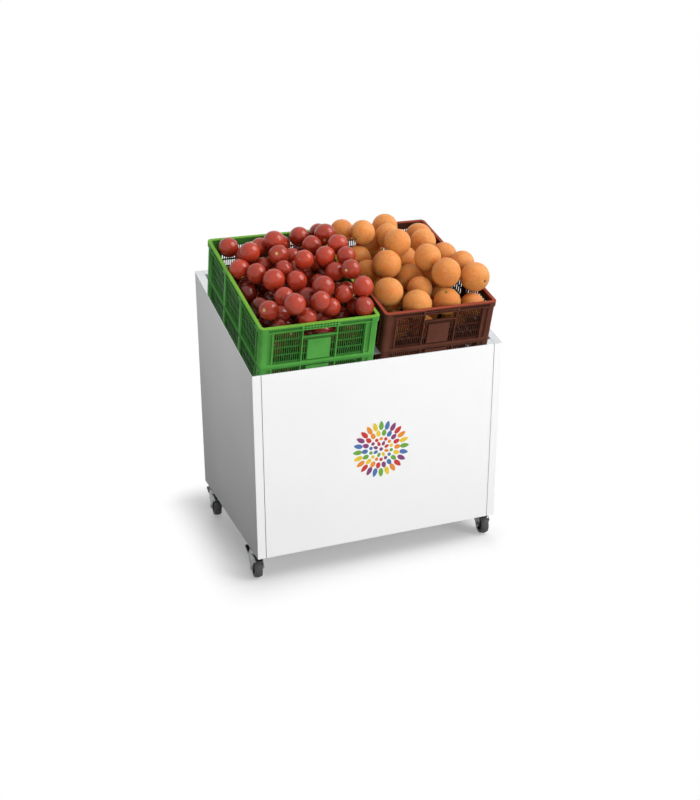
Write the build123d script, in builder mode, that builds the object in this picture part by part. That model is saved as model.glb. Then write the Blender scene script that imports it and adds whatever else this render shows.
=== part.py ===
from build123d import *
import os
from math import cos, radians, sin, tan

import numpy as np

# Produce display stand, in millimetres. X runs to the right, Y to the back and Z up.
# The origin is on the floor, under the middle of the cabinet.

# Crate, a perforated moulding of the common 600 by 400 size
crate_width = 400.0
crate_length = 600.0
crate_height = 150.0
crate_corner = 15.0
crate_wall = 3.0
crate_floor = 4.0
rim_width = 12.0
rim_band = 20.0
rim_round = 1.5
rim_step = 3.5
ledge_height = 12.0
post_width = 47.0
end_rib = 3.5
side_rib = 18.0
side_windows = 3
handle_panel_width = 112.0
hand_hole_width = 106.0
hand_hole_height = 26.0
label_width = 76.0
label_height = 72.0
label_thickness = 3.0
slot_width = 4.2
slot_height = 22.0
slot_pitch = 7.2
slot_rows = 4
side_slot_width = 8.0
side_slot_pitch = 15.0
window_margin = 5.0
rim_pocket = (7.0, 5.0, 6.0)
rim_pocket_count = (11, 2)
floor_slot_width = 10.0
floor_slot_length = 112.0
floor_rib = 18.0

# Cabinet
board = 28.0
inner_board = 18.0
board_round = 1.0
stand_height = 900.0
shelf_tilt = 14.5
lip = 5.0
edge_strip = 1.5
joint_gap = 0.6
crate_gap = 16.0
crate_play = 13.5
crate_seat = 0.1
rail_width = 20.0
rail_height = 32.0

# Corner brackets and their screws
bracket_leg = 40.0
bracket_width = 30.0
bracket_sheet = 2.5
bracket_clear = 60.0
screw_shank = 4.0
screw_length = 16.0
screw_head = 8.0
screw_head_height = 2.5
screw_place = 24.0

# Castor with a hooded fork
wheel_diameter = 70.0
wheel_width = 26.0
tyre_thickness = 8.0
tyre_crown = 3.5
hub_diameter = 22.0
web_thickness = 9.0
fork_sheet = 2.5
fork_round = 11.0
hood_clearance = 3.5
hood_front_angle = 52.0
leg_clearance = 3.5
boss_radius = 11.0
trail = 31.0
fork_back = 16.0
fork_back_drop = 24.0
fork_bend_depth = 14.0
cup_diameter = 38.0
cup_height = 10.5
stem_diameter = 12.0
stem_length = 40.0
king_pin = 10.0
flange_diameter = 36.0
flange_thickness = 3.2
rivet_diameter = 18.0
rivet_height = 3.0
axle_diameter = 8.0
axle_head = 14.0
axle_head_height = 4.5
castor_inset = 80.0
castor_heading = 6.0

# Brake pedal on the fork
pedal_pivot_back = 9.0
pedal_pivot_drop = 14.0
pedal_pin = 5.0
pedal_hub_radius = 6.0
pedal_reach = 69.0
pedal_thickness = 5.0
pedal_width = 38.0
pedal_side_play = 1.5
brake_travel = 15.0
brake_nose_radius = 2.5

# Clearances
running_fit = 0.05
swivel_gap = 0.3
hub_gap = 0.5
brake_gap = 0.4
fruit_gap = 0.4
settle_step = 3.0
buried_share = 1 / 3
uneven_share = 1 / 4

# Fruit, in grades by radius. The heights above the rim bound the fruit under the top layer, in rows
# from front to rear, each from the outer wall to the wall beside the other crate.
tomato_grades = (31.0, 33.0, 35.0, 37.5)
tomato_heights = ((-82, -60, -38), (-62, -32, 4), (-58, -28, 8))
tomato_seed = 0
orange_grades = (43.0, 46.0, 49.5)
orange_heights = ((-85, -82, -70), (-24, -22, -50), (-35, -25, -35))
orange_seed = 150
outer_overhang = 18.0

# Top layer in the order of laying: each fruit's place across and along the crate, as shares of the
# half width and the half length inside, and its radius
tomato_top = (
    (-0.621, -0.813, 31), (-0.761, -0.431, 31), (-0.164, -0.891, 31), (-0.488, -0.618, 31),
    (-0.813, -0.080, 31), (-0.733, 0.138, 31), (-0.551, 0.588, 33), (0.336, -0.740, 31),
    (-0.749, -0.698, 33), (-0.338, 0.316, 31), (-0.397, -0.873, 35), (0.824, -0.686, 31),
    (-0.811, 0.250, 35), (0.056, -0.862, 33), (-0.775, 0.773, 35), (-0.349, -0.453, 33),
    (0.177, 0.131, 33), (0.403, -0.225, 31), (0.602, -0.648, 31), (-0.600, 0.052, 35),
    (0.073, -0.445, 37.5), (0.174, 0.705, 35), (-0.570, 0.391, 35), (0.204, 0.347, 31),
    (-0.395, -0.162, 37.5), (0.839, -0.884, 33), (-0.013, -0.222, 35), (0.273, -0.567, 37.5),
    (-0.232, 0.674, 33), (0.781, -0.445, 35), (-0.109, 0.037, 31), (-0.099, 0.259, 35),
    (-0.059, 0.511, 37.5), (0.725, 0.165, 33), (0.914, -0.695, 35), (0.675, -0.241, 33),
    (0.240, 0.011, 33), (0.606, -0.023, 35), (0.500, 0.660, 35), (0.582, 0.375, 35),
    (0.853, -0.408, 33), (0.924, -0.133, 33), (0.900, 0.506, 37.5), (0.924, 0.755, 33),
    (0.910, 0.111, 35),
)
orange_top = (
    (-0.067, -0.510, 43), (0.738, -0.849, 43), (-0.726, 0.041, 43), (0.278, -0.791, 46),
    (-0.331, -0.827, 49.5), (0.441, -0.211, 43), (0.694, 0.646, 49.5), (-0.736, -0.600, 49.5),
    (0.753, 0.013, 46), (0.846, -0.687, 49.5), (0.340, -0.595, 49.5), (-0.055, -0.194, 46),
    (-0.717, 0.355, 46), (0.862, -0.320, 43), (-0.511, -0.168, 49.5), (-0.814, 0.768, 43),
    (-0.367, 0.596, 46), (-0.596, 0.476, 43), (0.191, -0.278, 46), (0.016, 0.719, 46),
    (0.039, 0.114, 46), (-0.136, 0.413, 43), (-0.196, 0.044, 46), (0.516, 0.289, 46),
)

# Values worked out from the driving dimensions
tilt = radians(shelf_tilt)
inner_width = 2 * crate_width + crate_gap
inner_depth = (crate_length + crate_play) * cos(tilt)
stand_width = inner_width + 2 * board
stand_depth = inner_depth + 2 * board
front_face = -stand_depth / 2
back_face = stand_depth / 2
front_height = stand_height - stand_depth * tan(tilt)
wheel_radius = wheel_diameter / 2
hood_radius = wheel_radius + hood_clearance + fork_sheet
fork_top = wheel_radius + hood_radius
flange_under = fork_top + cup_height + swivel_gap
floor_clearance = flange_under + flange_thickness
leg_inside = wheel_width / 2 + leg_clearance
leg_outside = leg_inside + fork_sheet


def slope_height(y, below=0.0):
    """Height of the sloping top at depth y, or of the plane that lies a distance below it."""
    return front_height + (y - front_face) * tan(tilt) - below / cos(tilt)


def slope_band(y_from, y_to, upper, lower):
    """Corners of a strip along the slope, between two distances below the sloping top."""
    return [
        (y_from, slope_height(y_from, lower)),
        (y_to, slope_height(y_to, lower)),
        (y_to, slope_height(y_to, upper)),
        (y_from, slope_height(y_from, upper)),
    ]


def upright_panel(y_from, y_to, bottom):
    """Corners of a board that stands on a level edge and ends under the edge strip."""
    return [
        (y_from, bottom),
        (y_to, bottom),
        (y_to, slope_height(y_to, edge_strip)),
        (y_from, slope_height(y_from, edge_strip)),
    ]


def side_slab(corners, x_from, x_to):
    """Board with the given outline in Y and Z, between two places in X."""
    with BuildPart() as slab:
        with BuildSketch(Plane.YZ.offset(x_from)):
            Polygon(*corners, align=None)
        extrude(amount=x_to - x_from)
    return slab.part


def save(part, name):
    """Write one piece as a named node."""
    part.label = name
    export_step(part, f"parts/{name}.step")


os.makedirs("parts", exist_ok=True)

# Corner bracket with one screw in each leg, in a corner at the origin
screw_frames = [
    Location((screw_place, bracket_sheet, bracket_width / 2), (-90, 0, 0)),
    Location((bracket_sheet, screw_place, bracket_width / 2), (0, 90, 0)),
]

with BuildPart() as bracket:
    with BuildSketch():
        with BuildLine():
            Polyline(
                (0, 0),
                (bracket_leg, 0),
                (bracket_leg, bracket_sheet),
                (bracket_sheet, bracket_sheet),
                (bracket_sheet, bracket_leg),
                (0, bracket_leg),
                close=True,
            )
        make_face()
    extrude(amount=bracket_width)
    with Locations(*screw_frames):
        Hole(screw_shank / 2 + running_fit)

with BuildPart() as screws:
    with Locations(*screw_frames):
        Cylinder(screw_shank / 2, screw_length, align=(Align.CENTER, Align.CENTER, Align.MAX))
        Cylinder(screw_head / 2, screw_head_height, align=(Align.CENTER, Align.CENTER, Align.MIN))

with BuildPart() as pilot_holes:
    with Locations(*screw_frames):
        Cylinder(
            screw_shank / 2 + running_fit,
            screw_length + swivel_gap,
            align=(Align.CENTER, Align.CENTER, Align.MAX),
        )

bracket_low = floor_clearance + inner_board + bracket_clear
bracket_front = slope_height(front_face) - lip - inner_board - rail_height - bracket_clear - bracket_width
bracket_rear = bracket_front + inner_depth * tan(tilt)
corners = [(-1, -1, 0), (1, -1, 90), (1, 1, 180), (-1, 1, 270)]
bracket_frames = []
for x_side, y_side, turn in corners:
    upper = bracket_front if y_side < 0 else bracket_rear
    for height in (bracket_low, upper):
        place = (x_side * inner_width / 2, y_side * inner_depth / 2, height)
        bracket_frames.append(Location(place, (0, 0, turn)))

with BuildPart() as corner_brackets:
    with Locations(*bracket_frames):
        add(bracket.part)
save(corner_brackets.part, "corner_brackets")

with BuildPart() as bracket_screws:
    with Locations(*bracket_frames):
        add(screws.part)
save(bracket_screws.part, "bracket_screws")

# Places of the castors, under the middle of the side panels' lower edges
castor_x = (stand_width - board) / 2
castor_y = stand_depth / 2 - castor_inset
castor_places = {
    "front_left": (-castor_x, -castor_y),
    "front_right": (castor_x, -castor_y),
    "rear_left": (-castor_x, castor_y),
    "rear_right": (castor_x, castor_y),
}
stem_sockets = [
    Location((x, y, floor_clearance), (180, 0, 0)) for x, y in castor_places.values()
]

# Side panels
for name, side in (("left_side_panel", -1), ("right_side_panel", 1)):
    with BuildPart() as side_panel:
        with BuildSketch(Plane.YZ.offset(side * inner_width / 2)):
            Polygon(*upright_panel(front_face, back_face, floor_clearance), align=None)
        extrude(amount=side * board)
        fillet(side_panel.edges().filter_by(Axis.Z), board_round)
        with Locations(*stem_sockets):
            Hole(stem_diameter / 2 + running_fit, stem_length + swivel_gap)
        with Locations(*bracket_frames):
            add(pilot_holes.part, mode=Mode.SUBTRACT)
    save(side_panel.part, name)

# Front and back panels, between the side panels
panel_half = inner_width / 2 - joint_gap
for name, face, inside in (("front_panel", front_face, board), ("back_panel", back_face, -board)):
    with BuildPart() as cross_panel:
        with BuildSketch(Plane.YZ):
            near, far = sorted((face, face + inside))
            Polygon(*upright_panel(near, far, floor_clearance), align=None)
        extrude(amount=panel_half, both=True)
        fillet(cross_panel.edges().filter_by(Axis.Z), board_round)
        with Locations(*bracket_frames):
            add(pilot_holes.part, mode=Mode.SUBTRACT)
    save(cross_panel.part, name)

# Polished strips on the sloping top edges
side_strip = slope_band(front_face, back_face, 0, edge_strip)
front_strip = slope_band(front_face, front_face + board, 0, edge_strip)
rear_strip = slope_band(back_face - board, back_face, 0, edge_strip)
save(side_slab(side_strip, -stand_width / 2, -inner_width / 2), "left_edge_strip")
save(side_slab(side_strip, inner_width / 2, stand_width / 2), "right_edge_strip")
save(side_slab(front_strip, -panel_half, panel_half), "front_edge_strip")
save(side_slab(rear_strip, -panel_half, panel_half), "rear_edge_strip")

# Base panel
with BuildPart() as base_panel:
    with BuildSketch(Plane.XY.offset(floor_clearance)):
        Rectangle(2 * panel_half, inner_depth - 2 * joint_gap)
    extrude(amount=inner_board)
save(base_panel.part, "base_panel")

# Display shelf on four rails
shelf_under = lip + inner_board
shelf_front = -inner_depth / 2 + joint_gap
shelf_rear = inner_depth / 2 - joint_gap
rail_bottom = shelf_under + rail_height
rail_end = inner_depth / 2 - rail_width
shelf_band = slope_band(shelf_front, shelf_rear, lip, shelf_under)
save(side_slab(shelf_band, -panel_half, panel_half), "display_shelf")
side_rail = slope_band(-rail_end, rail_end, shelf_under, rail_bottom)
front_rail = slope_band(-inner_depth / 2, -rail_end, shelf_under, rail_bottom)
rear_rail = slope_band(rail_end, inner_depth / 2, shelf_under, rail_bottom)
save(side_slab(side_rail, -inner_width / 2, rail_width - inner_width / 2), "left_shelf_rail")
save(side_slab(side_rail, inner_width / 2 - rail_width, inner_width / 2), "right_shelf_rail")
save(side_slab(front_rail, -inner_width / 2, inner_width / 2), "front_shelf_rail")
save(side_slab(rear_rail, -inner_width / 2, inner_width / 2), "rear_shelf_rail")

# Crate, with its base's middle at the origin and its length along Y
body_half_width = crate_width / 2 - rim_step
body_half_length = crate_length / 2 - rim_step
cavity_half_width = crate_width / 2 - rim_width
cavity_half_length = crate_length / 2 - rim_width
wall_half_width = cavity_half_width + crate_wall
wall_half_length = cavity_half_length + crate_wall
window_top = crate_height - rim_band
window_height = window_top - ledge_height
window_middle = (window_top + ledge_height) / 2
row_pitch = (window_height - 2 * window_margin) / slot_rows
grille_from = handle_panel_width / 2 + end_rib
grille_to = crate_width / 2 - post_width
grille_width = grille_to - grille_from
grille_middle = (grille_from + grille_to) / 2
grille_columns = int(grille_width // slot_pitch)
side_window = (crate_length - 2 * post_width - (side_windows - 1) * side_rib) / side_windows
side_columns = int((side_window - window_margin) // side_slot_pitch)
hand_hole_middle = window_top - hand_hole_height / 2
hand_lip = hand_hole_middle - hand_hole_height / 2 - end_rib / 2
label_middle = ledge_height + window_margin + label_height / 2
flank_middle = (label_width + handle_panel_width) / 4
floor_pitch = (floor_slot_width + floor_rib, floor_slot_length + floor_rib)
floor_columns = int((2 * cavity_half_width - floor_rib) // floor_pitch[0])
floor_rows = int((2 * cavity_half_length - floor_rib) // floor_pitch[1])

with BuildPart() as crate:
    with BuildSketch():
        RectangleRounded(2 * body_half_width, 2 * body_half_length, crate_corner - rim_step)
    extrude(amount=window_top)
    with BuildSketch(Plane.XY.offset(window_top)):
        RectangleRounded(crate_width, crate_length, crate_corner)
    extrude(amount=rim_band)
    with BuildSketch(Plane.XY.offset(crate_floor)):
        RectangleRounded(2 * cavity_half_width, 2 * cavity_half_length, crate_corner / 2)
    extrude(amount=crate_height, mode=Mode.SUBTRACT)
    fillet(crate.faces().sort_by(Axis.Z)[-1].edges(), rim_round)

    # Windows through both ends and both long sides, which leave posts, ribs and the foot ledge
    with BuildSketch(Plane.XZ):
        with Locations((-grille_middle, window_middle), (grille_middle, window_middle)):
            Rectangle(grille_width, window_height)
        with Locations((0, window_middle)):
            Rectangle(handle_panel_width, window_height)
    extrude(amount=crate_length, both=True, mode=Mode.SUBTRACT)
    with BuildSketch(Plane.YZ):
        with Locations((0, window_middle)):
            with GridLocations(side_window + side_rib, 1, side_windows, 1):
                Rectangle(side_window, window_height)
    extrude(amount=crate_width, both=True, mode=Mode.SUBTRACT)

    # Drainage slots in the floor
    with BuildSketch():
        with GridLocations(*floor_pitch, floor_columns, floor_rows):
            Rectangle(floor_slot_width, floor_slot_length)
    extrude(amount=crate_floor, mode=Mode.SUBTRACT)

    # End walls, level with the cavity, with grilles, a hand hole and a plain label plate
    for end in (-1, 1):
        with BuildSketch(Plane.XZ.offset(end * (crate_length / 2 - rim_pocket[2]))):
            with Locations((0, crate_height - rim_band / 2)):
                with GridLocations(rim_pocket[0] + end_rib, rim_pocket[1] + end_rib, *rim_pocket_count):
                    Rectangle(rim_pocket[0], rim_pocket[1])
        extrude(amount=end * rim_pocket[2], mode=Mode.SUBTRACT)
        with BuildSketch(Plane.XZ.offset(end * cavity_half_length)):
            with Locations((0, label_middle)):
                RectangleRounded(label_width, label_height, label_thickness)
        extrude(amount=end * (crate_wall + label_thickness))
        with BuildSketch(Plane.XZ.offset(end * cavity_half_length)):
            with Locations((0, hand_lip)):
                Rectangle(handle_panel_width, end_rib)
        extrude(amount=end * (body_half_length - cavity_half_length))
        with BuildSketch(Plane.XZ.offset(end * cavity_half_length)):
            with Locations((0, window_middle)):
                Rectangle(handle_panel_width, window_height)
            with Locations((-grille_middle, window_middle), (grille_middle, window_middle)):
                Rectangle(grille_width, window_height)
                with GridLocations(slot_pitch, row_pitch, grille_columns, slot_rows):
                    Rectangle(slot_width, slot_height, mode=Mode.SUBTRACT)
            with Locations((-flank_middle, label_middle), (flank_middle, label_middle)):
                with GridLocations(slot_pitch, row_pitch, 2, slot_rows - 1):
                    Rectangle(slot_width, slot_height, mode=Mode.SUBTRACT)
            with Locations((0, hand_hole_middle)):
                Rectangle(hand_hole_width, hand_hole_height, mode=Mode.SUBTRACT)
        extrude(amount=end * crate_wall, clean=False)

    # Long walls with their grilles
    for side in (-1, 1):
        with BuildSketch(Plane.YZ.offset(side * cavity_half_width)):
            with Locations((0, window_middle)):
                with GridLocations(side_window + side_rib, 1, side_windows, 1):
                    Rectangle(side_window, window_height)
                    with GridLocations(side_slot_pitch, row_pitch, side_columns, slot_rows):
                        Rectangle(side_slot_width, slot_height, mode=Mode.SUBTRACT)
        extrude(amount=side * crate_wall, clean=False)


def rest_height(x, y, radius, settled):
    """Height at which a fruit comes to rest at x and y, on the floor, the rim or the fruit laid before."""
    reach = radius + fruit_gap
    rest = np.full(np.shape(x), crate_floor + reach)
    for wall in (cavity_half_width - abs(x), cavity_half_length - abs(y)):
        beside = np.maximum(wall + rim_round, 0)
        on_rim = crate_height - rim_round + np.sqrt(np.maximum((reach + rim_round) ** 2 - beside**2, 0))
        rest = np.where(wall < reach, np.maximum(rest, on_rim), rest)
    for other_x, other_y, other_z, other_radius in settled:
        apart = (reach + other_radius) ** 2
        level = (x - other_x) ** 2 + (y - other_y) ** 2
        on_fruit = other_z + np.sqrt(np.maximum(apart - level, 0))
        rest = np.where(level < apart, np.maximum(rest, on_fruit), rest)
    return rest


def settle_fruit(seed, grades, surface):
    """Fruit (x, y, z, radius) inside the walls, each lowered into the lowest pocket under a surface."""
    draw = np.random.default_rng(seed)
    x, y = np.meshgrid(
        np.arange(-crate_width / 2, crate_width / 2, settle_step),
        np.arange(-crate_length / 2, crate_length / 2, settle_step),
    )
    settled = []
    while True:
        radius = float(draw.choice(grades))
        rest = rest_height(x, y, radius, settled)
        free = (abs(x) + radius < cavity_half_width) & (abs(y) + radius < cavity_half_length)
        free &= rest + radius * buried_share < surface(x, y)
        if not free.any():
            return settled
        unevenness = draw.uniform(0, radius * uneven_share, x.shape)
        best = np.argmin(np.where(free, rest + unevenness, np.inf))
        settled.append((float(x.flat[best]), float(y.flat[best]), float(rest.flat[best]), radius))


def lay_top(settled, top, left, right):
    """Adds the top layer, each fruit lowered at its place until it rests, between two bounds across."""
    for across, along, radius in top:
        reach = radius + fruit_gap
        x = min(max(across * cavity_half_width, left + reach), right - reach)
        y = min(max(along * cavity_half_length, reach - cavity_half_length), cavity_half_length - reach)
        settled.append((x, y, float(rest_height(x, y, radius, settled)), float(radius)))
    return settled


def heap_surface(inner_side, heights):
    """Surface through nine heights above the rim, in rows from front to rear.

    Each row runs from the outer wall to the wall beside the other crate.
    """

    def surface(x, y):
        across = inner_side * x / cavity_half_width
        along = np.clip(y / cavity_half_length, -1, 1)
        front, middle, rear = (np.interp(across, (-1, 0, 1), row) for row in heights)
        slope = np.where(along < 0, middle - front, rear - middle)
        return crate_height + middle + slope * along

    return surface


def fruit_heap(fruit):
    """One ball for each fruit."""
    with BuildPart() as heap:
        for radius in sorted({ball[3] for ball in fruit}):
            with Locations(*[ball[:3] for ball in fruit if ball[3] == radius]):
                Sphere(radius)
    return heap.part


inner_reach = (crate_width + crate_gap) / 2 - fruit_gap
outer_reach = crate_width / 2 + outer_overhang
tomato_base = settle_fruit(tomato_seed, tomato_grades, heap_surface(1, tomato_heights))
tomato_places = lay_top(tomato_base, tomato_top, -cavity_half_width, inner_reach)
orange_base = settle_fruit(orange_seed, orange_grades, heap_surface(-1, orange_heights))
orange_places = lay_top(orange_base, orange_top, -inner_reach, outer_reach)

# Crates and their fruit, seated on the shelf
crate_along = (board + joint_gap) / cos(tilt) + crate_length / 2
crate_level = crate_seat - lip
for name, fruit_name, places, side in (
    ("green_crate", "tomatoes", tomato_places, -1),
    ("brown_crate", "oranges", orange_places, 1),
):
    seat = Location(
        (
            side * (crate_width + crate_gap) / 2,
            front_face + crate_along * cos(tilt) - crate_level * sin(tilt),
            front_height + crate_along * sin(tilt) + crate_level * cos(tilt),
        ),
        (shelf_tilt, 0, 0),
    )
    save(seat * crate.part, name)
    save(seat * fruit_heap(places), fruit_name)

# Castor pieces, with the swivel axis on Z, the floor at zero and the wheel trailing towards -Y
axle_axis = Axis((0, -trail, wheel_radius), (1, 0, 0))
axle_plane = Plane((0, -trail, wheel_radius), x_dir=(1, 0, 0), z_dir=(0, -1, 0))
pivot_height = fork_top - pedal_pivot_drop

with BuildPart() as stem:
    with BuildSketch(Plane.XZ):
        with BuildLine():
            rivet_top = fork_top - fork_sheet - swivel_gap
            Polyline(
                (0, rivet_top - rivet_height),
                (rivet_diameter / 2, rivet_top - rivet_height),
                (rivet_diameter / 2, rivet_top),
                (king_pin / 2, rivet_top),
                (king_pin / 2, flange_under),
                (flange_diameter / 2, flange_under),
                (flange_diameter / 2, floor_clearance),
                (stem_diameter / 2, floor_clearance),
                (stem_diameter / 2, floor_clearance + stem_length),
                (0, floor_clearance + stem_length),
                close=True,
            )
        make_face()
    revolve(axis=Axis.Z)

with BuildPart() as swivel_cup:
    with BuildSketch(Plane.XZ):
        with BuildLine():
            Polyline(
                (king_pin / 2 + running_fit, fork_top),
                (cup_diameter / 2, fork_top),
                (cup_diameter / 2, fork_top + cup_height / 2),
                (flange_diameter / 2 - fork_sheet, fork_top + cup_height),
                (king_pin / 2 + running_fit, fork_top + cup_height),
                close=True,
            )
        make_face()
    revolve(axis=Axis.Z)

with BuildPart() as fork_space:
    with BuildSketch(Plane.YZ):
        with Locations((-trail, wheel_radius)):
            Circle(hood_radius - fork_sheet)
            Rectangle(
                trail + 2 * fork_back,
                hood_radius - fork_sheet,
                align=(Align.MIN, Align.MIN),
            )
            Rectangle(4 * hood_radius, 2 * wheel_radius, align=(Align.CENTER, Align.MAX))
    extrude(amount=leg_inside, both=True)
    over = fork_space.edges().filter_by_position(Axis.Z, wheel_radius + boss_radius, fork_top)
    fillet(over.filter_by(Axis.X, reverse=True), fork_round - fork_sheet)

with BuildPart() as fork:
    with BuildSketch(Plane.YZ):
        with BuildLine():
            CenterArc((-trail, wheel_radius), hood_radius, 90, 90 - hood_front_angle)
            CenterArc((-trail, wheel_radius), boss_radius, 0, 360)
            Polyline((0, fork_top), (fork_back, fork_top), (fork_back, fork_top - fork_back_drop))
        make_hull()
    extrude(amount=leg_outside, both=True)
    rim = fork.edges().filter_by_position(Axis.Z, fork_top - fork_bend_depth, fork_top)
    fillet(rim.filter_by(Axis.X, reverse=True).filter_by(Axis.Z, reverse=True), fork_round)
    add(fork_space.part, mode=Mode.SUBTRACT)
    Cylinder(king_pin / 2 + running_fit, 3 * fork_top, mode=Mode.SUBTRACT)
    with Locations(Location((0, -trail, wheel_radius), (0, 90, 0))):
        Cylinder(axle_diameter / 2 + running_fit, 4 * leg_outside, mode=Mode.SUBTRACT)
    with Locations(Location((0, pedal_pivot_back, pivot_height), (0, 90, 0))):
        Cylinder(pedal_pin / 2 + running_fit, 4 * leg_outside, mode=Mode.SUBTRACT)

with BuildPart() as axle:
    with Locations(Location((0, -trail, wheel_radius), (0, 90, 0))):
        Cylinder(axle_diameter / 2, 2 * leg_outside)
    for side in (-1, 1):
        with Locations(Location((side * leg_outside, -trail, wheel_radius), (0, side * 90, 0))):
            Cylinder(axle_head / 2, axle_head_height, align=(Align.CENTER, Align.CENTER, Align.MIN))
    fillet(axle.faces().filter_by(Axis.X).sort_by(Axis.X)[0].edges(), axle_head_height / 2)
    fillet(axle.faces().filter_by(Axis.X).sort_by(Axis.X)[-1].edges(), axle_head_height / 2)

rim_radius = wheel_radius - tyre_thickness
with BuildPart() as wheel:
    with BuildSketch(axle_plane):
        with Locations((0, 0)):
            hub_width = 2 * (leg_inside - hub_gap)
            Rectangle(hub_width, hub_diameter / 2, align=(Align.CENTER, Align.MIN))
            Rectangle(web_thickness, rim_radius, align=(Align.CENTER, Align.MIN))
        with Locations((0, rim_radius)):
            Rectangle(wheel_width - 2 * hub_gap, tyre_thickness / 2, align=(Align.CENTER, Align.MAX))
        Rectangle(2 * wheel_width, axle_diameter + 2 * running_fit, mode=Mode.SUBTRACT)
    revolve(axis=axle_axis)

with BuildPart() as tyre:
    with BuildSketch(axle_plane):
        with BuildLine():
            inside = rim_radius + running_fit
            shoulder = wheel_radius - tyre_crown
            Polyline(
                (-wheel_width / 2, shoulder),
                (-wheel_width / 2, inside),
                (wheel_width / 2, inside),
                (wheel_width / 2, shoulder),
            )
            ThreePointArc((wheel_width / 2, shoulder), (0, wheel_radius), (-wheel_width / 2, shoulder))
        make_face()
    revolve(axis=axle_axis)

# Pedal whose nose swings up against the tyre when the pad is pressed down
pivot_to_axle = Vector(-trail - pedal_pivot_back, wheel_radius - pivot_height)
nose_reach = pivot_to_axle.length - wheel_radius - brake_gap - brake_nose_radius
nose_turn = brake_travel - Vector(1, 0).get_signed_angle(pivot_to_axle)
with BuildPart() as pedal:
    with BuildSketch(Plane.YZ):
        with Locations((pedal_pivot_back, pivot_height)):
            Circle(pedal_hub_radius)
            with PolarLocations(nose_reach, 1, start_angle=nose_turn):
                Circle(brake_nose_radius)
        make_hull()
    extrude(amount=leg_inside - pedal_side_play, both=True)
    with BuildSketch(Plane.XY.offset(pivot_height - pedal_thickness / 2)):
        with Locations((0, pedal_pivot_back)):
            Rectangle(2 * (leg_inside - pedal_side_play), fork_back, align=(Align.CENTER, Align.MIN))
        with Locations((0, pedal_pivot_back + pedal_reach)):
            RectangleRounded(
                pedal_width,
                pedal_reach + pedal_pivot_back - fork_back - hood_clearance,
                pedal_hub_radius,
                align=(Align.CENTER, Align.MAX),
            )
    extrude(amount=pedal_thickness)
    with Locations(Location((0, pedal_pivot_back, pivot_height), (0, 90, 0))):
        Cylinder(pedal_pin / 2 + running_fit, 4 * leg_outside, mode=Mode.SUBTRACT)

with BuildPart() as brake_pin:
    with Locations(Location((0, pedal_pivot_back, pivot_height), (0, 90, 0))):
        Cylinder(pedal_pin / 2, 2 * leg_outside)

castor_pieces = {
    "stem": stem,
    "swivel_cup": swivel_cup,
    "fork": fork,
    "axle": axle,
    "wheel": wheel,
    "tyre": tyre,
    "brake_pedal": pedal,
    "brake_pin": brake_pin,
}
for corner, (x, y) in castor_places.items():
    frame = Location((x, y, 0), (0, 0, -castor_heading))
    for piece, builder in castor_pieces.items():
        save(frame * builder.part, f"{corner}_castor_{piece}")
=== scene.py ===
# %% [markdown]
# # Produce display stand
#
# A white cabinet on four castors carries two crates of loose fruit on its sloping top.
# The rigid parts come from the part's own solids, in metres, with X to the right, Y to the back and Z up.
# This script gives them their finishes, rounds the crates' edges, puts real fruit in the crates, adds
# a vinyl rosette on the front and sets up a plain studio.

import math

import bpy
import numpy as np
from mathutils import Euler, Matrix, Vector


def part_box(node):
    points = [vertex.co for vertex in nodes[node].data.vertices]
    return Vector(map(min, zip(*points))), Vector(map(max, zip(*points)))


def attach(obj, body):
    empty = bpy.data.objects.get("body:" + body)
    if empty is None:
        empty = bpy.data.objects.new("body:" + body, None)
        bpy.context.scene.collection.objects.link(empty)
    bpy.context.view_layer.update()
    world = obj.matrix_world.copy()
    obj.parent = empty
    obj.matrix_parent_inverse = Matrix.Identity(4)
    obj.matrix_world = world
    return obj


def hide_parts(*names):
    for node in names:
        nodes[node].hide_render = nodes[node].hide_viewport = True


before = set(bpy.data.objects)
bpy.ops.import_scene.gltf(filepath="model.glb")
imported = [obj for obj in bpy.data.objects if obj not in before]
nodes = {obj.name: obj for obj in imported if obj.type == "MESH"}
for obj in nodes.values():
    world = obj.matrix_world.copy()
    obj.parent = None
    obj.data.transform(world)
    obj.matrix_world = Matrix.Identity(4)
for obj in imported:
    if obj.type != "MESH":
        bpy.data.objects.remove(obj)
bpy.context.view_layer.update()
bpy.ops.object.select_all(action="DESELECT")
scene = bpy.context.scene
scene.view_settings.view_transform = "Standard"

# %% [markdown]
# ## Camera
#
# The picture was taken from the front left, a little above the fruit. A camera could be placed by eye,
# but then the render never quite fits over the picture. Here the lens and the place come from fitting
# the cabinet's corners and the crates' rims to it.

# %% Camera
camera_data = bpy.data.cameras.new("camera")
camera_data.lens = 53.04
camera_data.sensor_width = 36.0
camera = bpy.data.objects.new("camera", camera_data)
camera.location = (-1.4221, -3.5945, 2.0026)
camera.rotation_euler = (1.1933, 0.0, -0.3814)
scene.collection.objects.link(camera)
scene.camera = camera
print("camera at", tuple(camera.location))

# %% [markdown]
# ## Tools for finishes
#
# Colours are easiest to judge as the 0 to 255 values of a colour chart, but the shader works with
# linear light, so one helper turns the first into the second. The others add a node with its values,
# a node that blends two colours, and an empty node group.


# %% Colour and node helpers
def chart_colour(red, green, blue):
    """Linear colour of a chart value."""
    linear = []
    for value in (red, green, blue):
        level = value / 255
        linear.append(level / 12.92 if level <= 0.04045 else ((level + 0.055) / 1.055) ** 2.4)
    return (*linear, 1.0)


def add_node(tree, kind, values=None, **settings):
    """New node with its settings and the values of its inputs."""
    node = tree.nodes.new(kind)
    for setting, value in settings.items():
        setattr(node, setting, value)
    for label, value in (values or {}).items():
        node.inputs[label].default_value = value
    return node


# Places of the factor, both colours and the result among the sockets of a node that mixes colours
mix_factor, mix_first, mix_second, mix_result = 0, 6, 7, 2


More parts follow.
